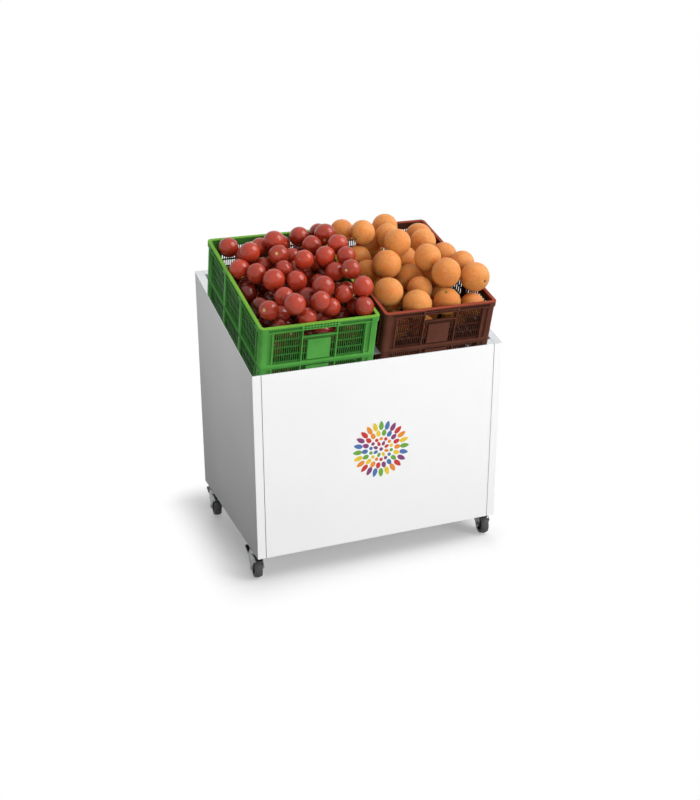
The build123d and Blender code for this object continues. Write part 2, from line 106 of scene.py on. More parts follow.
def blend_colours(tree, factor, first, second):
    """Output that goes from one colour to another; each, and the factor, is a value or an output."""
    mix = add_node(tree, "ShaderNodeMix", data_type="RGBA")
    for place, value in ((mix_factor, factor), (mix_first, first), (mix_second, second)):
        if isinstance(value, (tuple, float)):
            mix.inputs[place].default_value = value
        else:
            tree.links.new(value, mix.inputs[place])
    return mix.outputs[mix_result]


def group_with(name, inputs, output, kind):
    """Empty shader group with the named inputs and one output, and its two end nodes."""
    group = bpy.data.node_groups.new(name, "ShaderNodeTree")
    for label, input_kind in inputs:
        group.interface.new_socket(label, in_out="INPUT", socket_type=f"NodeSocket{input_kind}")
    group.interface.new_socket(output, in_out="OUTPUT", socket_type=f"NodeSocket{kind}")
    return group, group.nodes.new("NodeGroupInput"), group.nodes.new("NodeGroupOutput")


print("white on the chart is", chart_colour(255, 255, 255))

# %% [markdown]
# No real surface is the same all over. Its gloss is softer where hands and dust have been, its colour
# is a little cloudy, and moulding or coating leaves a fine grain. These three effects serve nearly
# every material here, so each is a node group that takes the place on the object and its own limits.
# Noise seldom leaves its middle range, so the first two groups spread that range out.

# %% Uneven gloss
noise_middle = {"From Min": 0.3, "From Max": 0.7}
uneven_gloss, start, end = group_with(
    "uneven gloss",
    [("Vector", "Vector"), ("Scale", "Float"), ("Shiny", "Float"), ("Dull", "Float")],
    "Roughness",
    "Float",
)
patches = add_node(uneven_gloss, "ShaderNodeTexNoise", {"Detail": 5.0})
spread = add_node(uneven_gloss, "ShaderNodeMapRange", noise_middle)
link = uneven_gloss.links.new
link(start.outputs["Vector"], patches.inputs["Vector"])
link(start.outputs["Scale"], patches.inputs["Scale"])
link(patches.outputs["Fac"], spread.inputs["Value"])
link(start.outputs["Shiny"], spread.inputs["To Min"])
link(start.outputs["Dull"], spread.inputs["To Max"])
link(spread.outputs["Result"], end.inputs["Roughness"])
print("group:", uneven_gloss.name)

# %% Cloudy colour
cloudy_colour, start, end = group_with(
    "cloudy colour",
    [("Vector", "Vector"), ("Scale", "Float"), ("First", "Color"), ("Second", "Color")],
    "Color",
    "Color",
)
clouds = add_node(cloudy_colour, "ShaderNodeTexNoise", {"Detail": 4.0, "Roughness": 0.6})
spread = add_node(cloudy_colour, "ShaderNodeMapRange", noise_middle)
link = cloudy_colour.links.new
link(start.outputs["Vector"], clouds.inputs["Vector"])
link(start.outputs["Scale"], clouds.inputs["Scale"])
link(clouds.outputs["Fac"], spread.inputs["Value"])
first, second = start.outputs["First"], start.outputs["Second"]
link(blend_colours(cloudy_colour, spread.outputs["Result"], first, second), end.inputs["Color"])
print("group:", cloudy_colour.name)

# %% Fine grain
fine_grain, start, end = group_with(
    "fine grain", [("Vector", "Vector"), ("Scale", "Float"), ("Depth", "Float")], "Normal", "Vector"
)
grains = add_node(fine_grain, "ShaderNodeTexNoise", {"Detail": 3.0})
bump = add_node(fine_grain, "ShaderNodeBump", {"Distance": 0.0005})
link = fine_grain.links.new
link(start.outputs["Vector"], grains.inputs["Vector"])
link(start.outputs["Scale"], grains.inputs["Scale"])
link(grains.outputs["Fac"], bump.inputs["Height"])
link(start.outputs["Depth"], bump.inputs["Strength"])
link(bump.outputs["Normal"], end.inputs["Normal"])
print("group:", fine_grain.name)

# %% [markdown]
# One helper then makes a whole finish: a shader with its fixed settings, and the three groups at the
# object's own coordinates, which don't slide when a part moves. Stretching these coordinates draws the
# patches out into wood grain or brush marks.


# %% Finish helper
def set_sockets(shader, sockets):
    """Sets shader inputs by keyword, such as coat_weight=0.3."""
    for label, value in sockets.items():
        shader.inputs[label.replace("_", " ").title().replace("Ior", "IOR")].default_value = value


def place_group(tree, group, vector, values):
    """Puts a group into a material's tree and returns its output."""
    effect = add_node(tree, "ShaderNodeGroup", node_tree=group)
    for label, value in values.items():
        effect.inputs[label].default_value = value
    tree.links.new(vector, effect.inputs["Vector"])
    return effect.outputs[0]


def finish(name, first, second, cloud_scale, gloss, grain, stretch=(1.0, 1.0, 1.0), **sockets):
    """Material that goes between two chart colours and two roughnesses, with a grain of (scale, depth)."""
    material = bpy.data.materials.new(name)
    material.use_nodes = True
    tree = material.node_tree
    shader = tree.nodes["Principled BSDF"]
    set_sockets(shader, sockets)
    place = add_node(tree, "ShaderNodeTexCoord")
    turn = add_node(tree, "ShaderNodeMapping", {"Scale": stretch})
    tree.links.new(place.outputs["Object"], turn.inputs["Vector"])
    vector = turn.outputs["Vector"]
    colours = {"Scale": cloud_scale, "First": chart_colour(*first), "Second": chart_colour(*second)}
    gloss_values = {"Scale": cloud_scale, "Shiny": gloss[0], "Dull": gloss[1]}
    grain_values = {"Scale": grain[0], "Depth": grain[1]}
    tree.links.new(place_group(tree, cloudy_colour, vector, colours), shader.inputs["Base Color"])
    tree.links.new(place_group(tree, uneven_gloss, vector, gloss_values), shader.inputs["Roughness"])
    tree.links.new(place_group(tree, fine_grain, vector, grain_values), shader.inputs["Normal"])
    return material


def wear(material, *names):
    """Gives a material to CAD nodes."""
    for name in names:
        nodes[name].material_slots[0].material = material


print("effects in every finish:", [group.name for group in bpy.data.node_groups])

# %% [markdown]
# ## Cabinet
#
# The panels are board with a white satin laminate. Along the front panel's two upright edges the
# laminate ends in a fine grey line, which is where the joint with the side panels shows. It could be a
# thin strip of its own, but it has no thickness, so it is a colour near those edges.

# %% White laminate
laminate_look = {
    "first": (246, 246, 246),
    "second": (243, 243, 244),
    "cloud_scale": 3.0,
    "gloss": (0.38, 0.48),
    "grain": (900.0, 0.02),
    "specular_ior_level": 0.06,
}
white_laminate = finish("white laminate", **laminate_look)
white_panels = ("left_side_panel", "right_side_panel", "back_panel", "base_panel")
wear(white_laminate, *white_panels)
print("white panels:", len(white_panels))

# %% Front laminate
edge_line = 0.0015
front_laminate = finish("front laminate", **laminate_look)
tree = front_laminate.node_tree
shader = tree.nodes["Principled BSDF"]
place = add_node(tree, "ShaderNodeTexCoord")
split = add_node(tree, "ShaderNodeSeparateXYZ")
aside = add_node(tree, "ShaderNodeMath", operation="ABSOLUTE")
at_edge = add_node(tree, "ShaderNodeMath", operation="GREATER_THAN")
at_edge.inputs[1].default_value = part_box("front_panel")[1][0] - edge_line
tree.links.new(place.outputs["Object"], split.inputs["Vector"])
tree.links.new(split.outputs["X"], aside.inputs[0])
tree.links.new(aside.outputs["Value"], at_edge.inputs[0])
plain = shader.inputs["Base Color"].links[0].from_socket
lined = blend_colours(tree, at_edge.outputs["Value"], plain, chart_colour(128, 128, 126))
tree.links.new(lined, shader.inputs["Base Color"])
wear(front_laminate, "front_panel")
print("front panel with an edge line of", edge_line)

# %% [markdown]
# The sloping top edges carry polished steel strips that mirror the crates, so their steel is nearly
# smooth: brushed steel would blur the reflection. The shelf between them has a grey laminate. The rails
# under it are planed wood, whose grain is the same cloudy colour with its coordinates stretched.

# %% Top edges and shelf
edges_of_top = ("left", "right", "front", "rear")
polished_steel = finish(
    "polished steel",
    (226, 228, 230),
    (216, 218, 221),
    cloud_scale=20.0,
    gloss=(0.03, 0.07),
    grain=(600.0, 0.01),
    metallic=1.0,
)
wear(polished_steel, *[f"{edge}_edge_strip" for edge in edges_of_top])
grey_laminate = finish(
    "grey laminate",
    (150, 152, 154),
    (140, 142, 145),
    cloud_scale=9.0,
    gloss=(0.35, 0.45),
    grain=(700.0, 0.06),
)
wear(grey_laminate, "display_shelf")
planed_wood = finish(
    "planed wood",
    (207, 181, 142),
    (178, 144, 102),
    cloud_scale=6.0,
    gloss=(0.5, 0.65),
    grain=(40.0, 0.2),
    stretch=(1.0, 1.0, 9.0),
)
wear(planed_wood, *[f"{edge}_shelf_rail" for edge in edges_of_top])
print("edge strips and rails:", 2 * len(edges_of_top))

# %% [markdown]
# ## Castors
#
# Forks, cups and stems are zinc plated, which is bright and slightly cloudy. The wheels are dark
# plastic with a rubber tyre that holds some floor dust, and the brake pedals are black. Scratches and
# rust could tell more of their age, but castors of this size show little more than colour and gloss,
# so each piece has one plain finish.

# %% Castor finishes
bright_zinc = finish(
    "bright zinc",
    (158, 160, 161),
    (112, 115, 118),
    cloud_scale=90.0,
    gloss=(0.2, 0.38),
    grain=(500.0, 0.05),
    metallic=1.0,
)
dark_wheel = finish(
    "dark wheel", (70, 70, 71), (58, 58, 58), cloud_scale=50.0, gloss=(0.4, 0.55), grain=(600.0, 0.1)
)
dusty_rubber = finish(
    "dusty rubber", (56, 56, 56), (74, 74, 73), cloud_scale=45.0, gloss=(0.5, 0.7), grain=(400.0, 0.15)
)
black_pedal = finish(
    "black pedal", (26, 26, 27), (38, 38, 38), cloud_scale=50.0, gloss=(0.35, 0.5), grain=(500.0, 0.15)
)
castors = ("front_left", "front_right", "rear_left", "rear_right")
for castor in castors:
    metal = [f"{castor}_castor_{piece}" for piece in ("stem", "swivel_cup", "fork", "axle", "brake_pin")]
    wear(bright_zinc, *metal)
    wear(dark_wheel, f"{castor}_castor_wheel")
    wear(dusty_rubber, f"{castor}_castor_tyre")
    wear(black_pedal, f"{castor}_castor_brake_pedal")
wear(bright_zinc, "corner_brackets", "bracket_screws")
print("castors finished:", len(castors))

# %% [markdown]
# ## Crates
#
# Each crate is one moulding of a satin plastic. A mould leaves no knife edges, and it is the rounded
# edges of rims and ribs that catch the light. A bevel node in the material could fake them, but the
# mesh itself would stay sharp, so each crate is a copy of its solid with bevelled edges.
# Such mouldings save plastic with shallow hollows in the rim and grooves in the corner posts. Both are
# cut from the copy with plain blocks before the edges are rounded.
# The sizes of the blocks are measured on a crate that lies flat: heights from its top or its bottom,
# depths from its outer faces, and lengths along a face from its middle, or for the grooves from its end.

# %% Sizes of the hollows
shelf_tilt = math.radians(14.5)
rim_hollow_from, rim_hollow_to, rim_hollow_depth = 0.006, 0.0165, 0.006
end_rim_hollows = ((-0.172, -0.064), (0.064, 0.172))
side_rim_hollows = ((-0.25, -0.1), (-0.075, 0.075), (0.1, 0.25))
post_groove_from, post_groove_to, post_groove_depth = 0.014, 0.127, 0.0075
post_groove_near, post_groove_far = 0.028, 0.042
print("rim hollows on an end and a side:", len(end_rim_hollows), len(side_rim_hollows))


# %% Blocks for the hollows
def join_all(pieces):
    """Joins objects into the first of them."""
    bpy.ops.object.select_all(action="DESELECT")
    for piece in pieces:
        piece.select_set(True)
    bpy.context.view_layer.objects.active = pieces[0]
    bpy.ops.object.join()
    return bpy.context.object


def flat_box(piece):
    """Lowest and highest corner of a piece, turned back so that the shelf would lie flat."""
    flat = np.array(Matrix.Rotation(-shelf_tilt, 3, "X"))
    points = np.array([vertex.co for vertex in piece.data.vertices]) @ flat.T
    return points.min(axis=0), points.max(axis=0)


def hollow_spans(low, high):
    """Each hollow as axis and side of its face, first and last along it, top, bottom and depth."""
    half = (high - low) / 2
    rim = (high[2] - rim_hollow_from, high[2] - rim_hollow_to, rim_hollow_depth)
    post = (low[2] + post_groove_from, low[2] + post_groove_to, post_groove_depth)
    spans = []
    for side in (-1, 1):
        spans += [(1, side, *span, *rim) for span in end_rim_hollows]
        spans += [(0, side, *span, *rim) for span in side_rim_hollows]
        for end in (-1, 1):
            for axis in (0, 1):
                edges = (end * (half[axis] - post_groove_near), end * (half[axis] - post_groove_far))
                spans.append((1 - axis, side, *sorted(edges), *post))
    return spans


def hollow_blocks(piece):
    """One object with a block for every hollow in a crate's outer faces, on the tilted shelf."""
    low, high = flat_box(piece)
    middle, half = (low + high) / 2, (high - low) / 2
    blocks = []
    for axis, side, first, last, top, bottom, depth in hollow_spans(low, high):
        place, size = [0.0, 0.0, (top + bottom) / 2], [0.0, 0.0, abs(top - bottom)]
        place[axis] = middle[axis] + side * half[axis]
        place[1 - axis] = middle[1 - axis] + (first + last) / 2
        size[axis], size[1 - axis] = 2 * depth, last - first
        bpy.ops.mesh.primitive_cube_add(size=1.0, location=place, scale=size)
        blocks.append(bpy.context.object)
    joined = join_all(blocks[::-1])
    bpy.ops.object.transform_apply(location=True, rotation=True, scale=True)
    joined.data.transform(Matrix.Rotation(shelf_tilt, 4, "X"))
    return joined


print("blocks for each crate:", len(hollow_spans(*flat_box(nodes["green_crate"]))))

# %% [markdown]
# The copy's loose triangles are merged first. A boolean then takes the blocks away, and a bevel rounds
# only the edges that really turn. Weighted normals keep the flat faces flat beside the rounded edges.

# %% Rounded copy
merge_distance = 1e-6
edge_radius = 0.0006
rounded_turn, smooth_turn = math.radians(35.0), math.radians(50.0)


def pick_only(piece):
    """Makes one object the selected and active one."""
    bpy.ops.object.select_all(action="DESELECT")
    piece.select_set(True)
    bpy.context.view_layer.objects.active = piece


def merged_copy(name, node):
    """Copy of a CAD node with its triangles merged."""
    copy = bpy.data.objects.new(name, nodes[node].data.copy())
    scene.collection.objects.link(copy)
    pick_only(copy)
    bpy.ops.object.mode_set(mode="EDIT")
    bpy.ops.mesh.select_all(action="SELECT")
    bpy.ops.mesh.remove_doubles(threshold=merge_distance)
    bpy.ops.object.mode_set(mode="OBJECT")
    return copy


def rounded_copy(name, node):
    """Copy of a CAD node with shallow hollows in its outer faces and its sharp edges bevelled."""
    copy = merged_copy(name, node)
    blocks = hollow_blocks(copy)
    pick_only(copy)
    hollows = copy.modifiers.new("hollows", "BOOLEAN")
    hollows.operation = "DIFFERENCE"
    hollows.solver = "EXACT"
    hollows.object = blocks
    bpy.ops.object.modifier_apply(modifier="hollows")
    bpy.data.objects.remove(blocks)
    edges = copy.modifiers.new("edges", "BEVEL")
    edges.width = edge_radius
    edges.segments = 1
    edges.limit_method = "ANGLE"
    edges.angle_limit = rounded_turn
    bpy.ops.object.modifier_apply(modifier="edges")
    bpy.ops.object.shade_smooth_by_angle(angle=smooth_turn)
    flats = copy.modifiers.new("flats", "WEIGHTED_NORMAL")
    flats.keep_sharp = True
    bpy.ops.object.modifier_apply(modifier="flats")
    return copy


mouldings = {}
for colour in ("green", "brown"):
    mouldings[colour] = rounded_copy(f"{colour}_crate_moulding", f"{colour}_crate")
    print(mouldings[colour].name, len(mouldings[colour].data.polygons), "faces")

# %% [markdown]
# The rims' upper faces are painted paler, as light from above shows them, and the recesses get painted
# shade.
# Two node groups find these places. The first goes by the height above the shelf, which is the distance
# along the shelf's normal.

# %% Painted rim light
shelf_normal = (0.0, -math.sin(shelf_tilt), math.cos(shelf_tilt))
# Painted light: within these distances of the top, the rim's upper face is made paler, as if lit from
# above.
rim_light_from, rim_light_to = -0.004, -0.0015
painted_rim_light, start, end = group_with("rubbed rim", [("Vector", "Vector"), ("Top", "Float")], "Mask", "Float")
height = add_node(painted_rim_light, "ShaderNodeVectorMath", operation="DOT_PRODUCT")
height.inputs[1].default_value = shelf_normal
under = add_node(painted_rim_light, "ShaderNodeMath", operation="SUBTRACT")
rubbed = add_node(painted_rim_light, "ShaderNodeMapRange", {"From Min": rim_light_from, "From Max": rim_light_to})
link = painted_rim_light.links.new
link(start.outputs["Vector"], height.inputs[0])
link(height.outputs["Value"], under.inputs[0])
link(start.outputs["Top"], under.inputs[1])
link(under.outputs["Value"], rubbed.inputs["Value"])
link(rubbed.outputs["Result"], end.inputs["Mask"])
print("group:", painted_rim_light.name)

# %% [markdown]
# The second group paints shade into the recesses, going by how far a point lies inside the crate's
# outer faces. The hollows under the lip count as deeper than they are, which paints a shadow under the
# lip, and the painted shade is weaker in the upper part of the crate, where light comes in. Heights are
# measured from the crate's middle.

# %% Painted recess shade
# Painted shade in the recesses and a painted shadow under the lip; these ramps set where and how dark.
recess_shade_ramp = {"From Min": 0.0066, "From Max": 0.01, "To Max": 0.82}
lip_shadow_ramp = {"From Min": 0.054, "From Max": 0.0565, "To Max": 0.004}
upper_shade_ramp = {"From Min": 0.02, "From Max": 0.06, "To Min": 1.0, "To Max": 0.6}
painted_recess_shade, start, end = group_with(
    "dull recess", [("Vector", "Vector"), ("Middle", "Vector"), ("Half size", "Vector")], "Mask", "Float"
)
from_middle = add_node(painted_recess_shade, "ShaderNodeVectorMath", operation="SUBTRACT")
flat = add_node(painted_recess_shade, "ShaderNodeVectorRotate", {"Angle": -shelf_tilt}, rotation_type="X_AXIS")
aside = add_node(painted_recess_shade, "ShaderNodeVectorMath", operation="ABSOLUTE")
inset = add_node(painted_recess_shade, "ShaderNodeVectorMath", operation="SUBTRACT")
split = add_node(painted_recess_shade, "ShaderNodeSeparateXYZ")
nearest = add_node(painted_recess_shade, "ShaderNodeMath", operation="MINIMUM")
upright = add_node(painted_recess_shade, "ShaderNodeSeparateXYZ")
lip_shadow = add_node(painted_recess_shade, "ShaderNodeMapRange", lip_shadow_ramp)
sunk = add_node(painted_recess_shade, "ShaderNodeMath", operation="ADD")
deep = add_node(painted_recess_shade, "ShaderNodeMapRange", recess_shade_ramp)
upper = add_node(painted_recess_shade, "ShaderNodeMapRange", upper_shade_ramp)
dull = add_node(painted_recess_shade, "ShaderNodeMath", operation="MULTIPLY")
link = painted_recess_shade.links.new
link(start.outputs["Vector"], from_middle.inputs[0])
link(start.outputs["Middle"], from_middle.inputs[1])
link(from_middle.outputs["Vector"], flat.inputs["Vector"])
link(flat.outputs["Vector"], aside.inputs[0])
link(start.outputs["Half size"], inset.inputs[0])
link(aside.outputs["Vector"], inset.inputs[1])
link(inset.outputs["Vector"], split.inputs["Vector"])
link(split.outputs["X"], nearest.inputs[0])
link(split.outputs["Y"], nearest.inputs[1])
link(flat.outputs["Vector"], upright.inputs["Vector"])
link(upright.outputs["Z"], lip_shadow.inputs["Value"])
link(nearest.outputs["Value"], sunk.inputs[0])
link(lip_shadow.outputs["Result"], sunk.inputs[1])
link(sunk.outputs["Value"], deep.inputs["Value"])
link(upright.outputs["Z"], upper.inputs["Value"])
link(deep.outputs["Result"], dull.inputs[0])
link(upper.outputs["Result"], dull.inputs[1])
link(dull.outputs["Value"], end.inputs["Mask"])
print("group:", painted_recess_shade.name)


# %% Crate plastics
def paint_shade_and_rim_light(plastic, moulding, recess_shade_colour, rim_light_colour):
    """Painted shade in a crate's recesses and painted light, a paler colour, on the upper face of its rim.
    """
    low, high = flat_box(moulding)
    middle = Matrix.Rotation(shelf_tilt, 3, "X") @ Vector((low + high) / 2)
    outer_faces = {"Middle": middle, "Half size": Vector((high - low) / 2)}
    tree = plastic.node_tree
    base = tree.nodes["Principled BSDF"].inputs["Base Color"]
    place = add_node(tree, "ShaderNodeTexCoord").outputs["Object"]
    plain = base.links[0].from_socket
    # Painted shade: a darker colour in the recesses and under the lip.
    in_recess_shade = place_group(tree, painted_recess_shade, place, outer_faces)
    recess_shaded = blend_colours(tree, in_recess_shade, plain, chart_colour(*recess_shade_colour))
    # Painted light: a paler colour on the rim's upper face.
    lit_rim_mask = place_group(tree, painted_rim_light, place, {"Top": high[2]})
    tree.links.new(blend_colours(tree, lit_rim_mask, recess_shaded, chart_colour(*rim_light_colour)), base)


plastic_look = {
    "cloud_scale": 14.0,
    "gloss": (0.4, 0.55),
    "grain": (450.0, 0.05),
    "specular_ior_level": 0.04,
}
green_plastic = finish("green plastic", (90, 164, 75), (77, 152, 66), **plastic_look)
brown_plastic = finish("brown plastic", (100, 60, 47), (83, 49, 38), **plastic_look)
# Each crate: its colour, its plastic, the painted shade of its recesses and the painted light of its rim.
crates = (
    ("green", green_plastic, (16, 46, 18), (112, 166, 60)),
    ("brown", brown_plastic, (30, 14, 10), (142, 66, 50)),
)
for colour, plastic, recess_shade_colour, rim_light_colour in crates:
    moulding = mouldings[colour]
    paint_shade_and_rim_light(plastic, moulding, recess_shade_colour, rim_light_colour)
    moulding.data.materials.clear()
    moulding.data.materials.append(plastic)
    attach(moulding, f"{colour}_crate")
    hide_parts(f"{colour}_crate")
print("crates finished:", len(crates))

# %% [markdown]
# ## Fruit
#
# The solids hold one plain ball for each fruit. Real fruit is flatter, has a hollow at its stalk end
# and is never the same twice. Every fruit could be sculpted, but turning and squeezing hide that they
# are alike, so one tomato and one orange are modelled and copied to every ball. The balls' places are
# read from the solids: a spare copy is split into its loose parts, and each part gives a middle and a
# radius.


# %% Read the balls
def ball_places(node):
    """Middle and radius of every ball in a node."""
    merged_copy("spare", node)
    bpy.ops.object.mode_set(mode="EDIT")
    bpy.ops.mesh.separate(type="LOOSE")
    bpy.ops.object.mode_set(mode="OBJECT")
    places = []
    for ball in bpy.context.selected_objects:
        points = np.array([vertex.co for vertex in ball.data.vertices])
        middle = points.mean(axis=0)
        places.append((*middle, np.linalg.norm(points - middle, axis=1).mean()))
    bpy.ops.object.delete()
    return sorted(places)


tomato_places = ball_places("tomatoes")
orange_places = ball_places("oranges")
print("tomatoes:", len(tomato_places), "oranges:", len(orange_places))

# %% [markdown]
# Both fruits start as a ball of radius one, so that a copy only has to be scaled by its radius.
# The ball is flattened, and its top point is pulled down with proportional editing, which takes the
# skin around it along in a smooth hollow. The other end gets a smaller one.

# %% Shape the fruit
other_end_depth, other_end_reach = 0.25, 0.5
pole_margin = 1e-4


def fruit_form(name, segments, rings, height, hollow, hollow_reach):
    """Flattened ball with a hollow at its stalk end, which points up."""
    bpy.ops.object.select_all(action="DESELECT")
    bpy.ops.mesh.primitive_uv_sphere_add(segments=segments, ring_count=rings, radius=1.0)
    form = bpy.context.object
    form.name = name
    bpy.ops.object.shade_smooth()
    bpy.ops.object.mode_set(mode="EDIT")
    bpy.ops.mesh.select_all(action="SELECT")
    bpy.ops.transform.resize(value=(1.0, 1.0, height))
    stalk_end = (1, hollow, hollow_reach)
    other_end = (-1, other_end_depth * hollow, other_end_reach * hollow_reach)
    for end, depth, reach in (stalk_end, other_end):
        bpy.ops.mesh.select_all(action="DESELECT")
        bpy.ops.object.mode_set(mode="OBJECT")
        for vertex in form.data.vertices:
            vertex.select = end * vertex.co.z > height - pole_margin
        bpy.ops.object.mode_set(mode="EDIT")
        bpy.ops.transform.translate(
            value=(0.0, 0.0, -end * depth),
            use_proportional_edit=True,
            proportional_edit_falloff="SMOOTH",
            proportional_size=reach,
        )
    bpy.ops.object.mode_set(mode="OBJECT")
    return form


tomato_form = fruit_form("tomato form", segments=32, rings=18, height=0.97, hollow=0.13, hollow_reach=0.55)
orange_form = fruit_form("orange form", segments=40, rings=24, height=0.98, hollow=0.05, hollow_reach=0.4)
print("faces of a tomato and an orange:", len(tomato_form.data.polygons), len(orange_form.data.polygons))

# %% [markdown]
# Every copy is turned by chance, with its stalk more often to one side, and squeezed a little. It also
# keeps a tone for the colour: partly chance, and partly painted shade by how deep it lies under the rim,
# since fruit lower in the heap gets less light and looks darker. Both rims are equally high, so one of
# them gives the level. The copies are joined, because a crate's fruit goes where the crate goes.

# %% Heap the fruit
squeeze = 0.02
chance_share, buried_shade_share = 0.4, 0.6
rim_points = [vertex.co for vertex in mouldings["brown"].data.vertices]
rim_level = max(Vector(shelf_normal).dot(point) for point in rim_points)


def heap_of(name, form, places, seed, lean):
    """One piece with a turned, scaled and slightly squeezed copy of the form at every place."""
    draw = np.random.default_rng(seed)
    copies = []
    for x, y, z, radius in places:
        stalk = Vector(draw.normal(size=3)) + Vector(lean)
        spin = Euler((0.0, 0.0, draw.uniform(0.0, math.tau))).to_quaternion()
        size = Vector(radius * (1.0 - draw.uniform(0.0, squeeze, 3)))
        mesh = form.data.copy()
        mesh.transform(Matrix.LocRotScale(Vector((x, y, z)), stalk.to_track_quat("Z", "Y") @ spin, size))
        # Painted shade: fruit that lies deeper under the rim gets a darker tone, as if it got less light.
        buried = np.clip((rim_level - Vector(shelf_normal).dot((x, y, z))) / radius, 0.0, 1.0)
        tone_with_painted_shade = chance_share * draw.uniform() + buried_shade_share * buried
        tone = mesh.attributes.new("tone", "FLOAT", "POINT")
        tone.data.foreach_set("value", np.full(len(mesh.vertices), tone_with_painted_shade, np.float32))
        copy = bpy.data.objects.new(name, mesh)
        scene.collection.objects.link(copy)
        copies.append(copy)
    bpy.data.objects.remove(form)
    return join_all(copies)


tomato_heap = heap_of("tomato_heap", tomato_form, tomato_places, seed=5, lean=(0.2, 0.5, -0.1))
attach(tomato_heap, "green_crate")
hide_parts("tomatoes")
orange_heap = heap_of("orange_heap", orange_form, orange_places, seed=9, lean=(0.2, 0.6, -0.2))
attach(orange_heap, "brown_crate")
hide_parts("oranges")
for heap in (tomato_heap, orange_heap):
    print(heap.name, len(heap.data.polygons), "faces")

# %% [markdown]
# Both fruits carry a mark at the stalk end. The ball's own UV map runs from pole to pole, so its second
# value says how near the stalk a point is, and its first value runs round the fruit, which can cut the
# mark into lobes. One node group gives such a mark as a mask.

# %% Stalk mark
stalk_mark, start, end = group_with(
    "stalk mark",
    [
        ("Vector", "Vector"),
        ("Outside", "Float"),
        ("Inside", "Float"),
        ("Lobes", "Float"),
        ("Lobe depth", "Float"),
    ],
    "Mask",
    "Float",
)
split = add_node(stalk_mark, "ShaderNodeSeparateXYZ")
around = add_node(stalk_mark, "ShaderNodeMath", operation="MULTIPLY")
turns = add_node(stalk_mark, "ShaderNodeMath", operation="MULTIPLY")
turns.inputs[1].default_value = math.tau
wave = add_node(stalk_mark, "ShaderNodeMath", operation="SINE")
swing = add_node(stalk_mark, "ShaderNodeMath", operation="MULTIPLY_ADD")
rise = add_node(stalk_mark, "ShaderNodeMapRange", interpolation_type="SMOOTHSTEP")
link = stalk_mark.links.new
link(start.outputs["Vector"], split.inputs["Vector"])
link(split.outputs["X"], around.inputs[0])
link(start.outputs["Lobes"], around.inputs[1])
link(around.outputs["Value"], turns.inputs[0])
link(turns.outputs["Value"], wave.inputs[0])
link(wave.outputs["Value"], swing.inputs[0])
link(start.outputs["Lobe depth"], swing.inputs[1])
link(split.outputs["Y"], swing.inputs[2])
link(swing.outputs["Value"], rise.inputs["Value"])
link(start.outputs["Outside"], rise.inputs["From Min"])
link(start.outputs["Inside"], rise.inputs["From Max"])
link(rise.outputs["Result"], end.inputs["Mask"])
print("group:", stalk_mark.name)


# %% Fruit colour helpers
def mark_on(tree, outside, inside, lobes=0.0, lobe_depth=0.0):
    """Mask of a stalk mark on the fruit's UV map."""
    pole_map = add_node(tree, "ShaderNodeUVMap", uv_map="UVMap")
    values = {"Outside": outside, "Inside": inside, "Lobes": lobes, "Lobe depth": lobe_depth}
    return place_group(tree, stalk_mark, pole_map.outputs["UV"], values)


def deepened(tree, pale, deep):
    """Colour that goes from a pale output to a deep chart colour by each fruit's tone, partly painted
    shade.
    """
    tone = add_node(tree, "ShaderNodeAttribute", attribute_name="tone")
    return blend_colours(tree, tone.outputs["Fac"], pale, chart_colour(*deep))


print("points with a tone:", len(tomato_heap.data.attributes["tone"].data))

# %% [markdown]
# A tomato is glossy and red, redder or paler from one to the next, and painted darker deep in the heap.
# Around the stalk end the skin turns orange, and in the hollow sits a pale five-lobed scar.

# %% Tomato skin
tomato_skin = finish(
    "tomato skin",
    (180, 62, 39),
    (166, 53, 33),
    cloud_scale=22.0,
    gloss=(0.14, 0.2),
    grain=(160.0, 0.03),
    specular_ior_level=0.42,
)
tree = tomato_skin.node_tree
shader = tree.nodes["Principled BSDF"]
cloud = shader.inputs["Base Color"].links[0].from_socket
# The deep colour serves both the chance tone and the painted shade of buried fruit.
red = deepened(tree, cloud, (96, 25, 16))
halo = mark_on(tree, outside=0.91, inside=1.02)
warmed = blend_colours(tree, halo, red, chart_colour(206, 110, 58))
scar = mark_on(tree, outside=0.954, inside=0.968, lobes=5.0, lobe_depth=0.008)
scarred = blend_colours(tree, scar, warmed, chart_colour(212, 194, 126))
pit = mark_on(tree, outside=0.982, inside=0.992)
pitted = blend_colours(tree, pit, scarred, chart_colour(128, 116, 60))
tree.links.new(pitted, shader.inputs["Base Color"])
tomato_heap.data.materials.clear()
tomato_heap.data.materials.append(tomato_skin)
print("tomatoes finished")

# %% [markdown]
# Orange peel is mottled and covered with fine pores. A Voronoi pattern gives a cell for each pore: the
# distance to the cell's middle is the height of a bump and darkens the pore. Light goes a little way
# into the peel, which softens the shaded side. The stalk button is small, dark and green.

# %% Orange peel
pore_scale = 420.0
pore_ramp = {"From Min": 0.0, "From Max": 0.45, "To Min": 0.35, "To Max": 0.0}
orange_peel = finish(
    "orange peel",
    (219, 162, 97),
    (206, 134, 69),
    cloud_scale=130.0,
    gloss=(0.4, 0.55),
    grain=(300.0, 0.15),
    specular_ior_level=0.2,
    subsurface_weight=0.9,
    subsurface_scale=0.05,
)
tree = orange_peel.node_tree
shader = tree.nodes["Principled BSDF"]
cloud = shader.inputs["Base Color"].links[0].from_socket
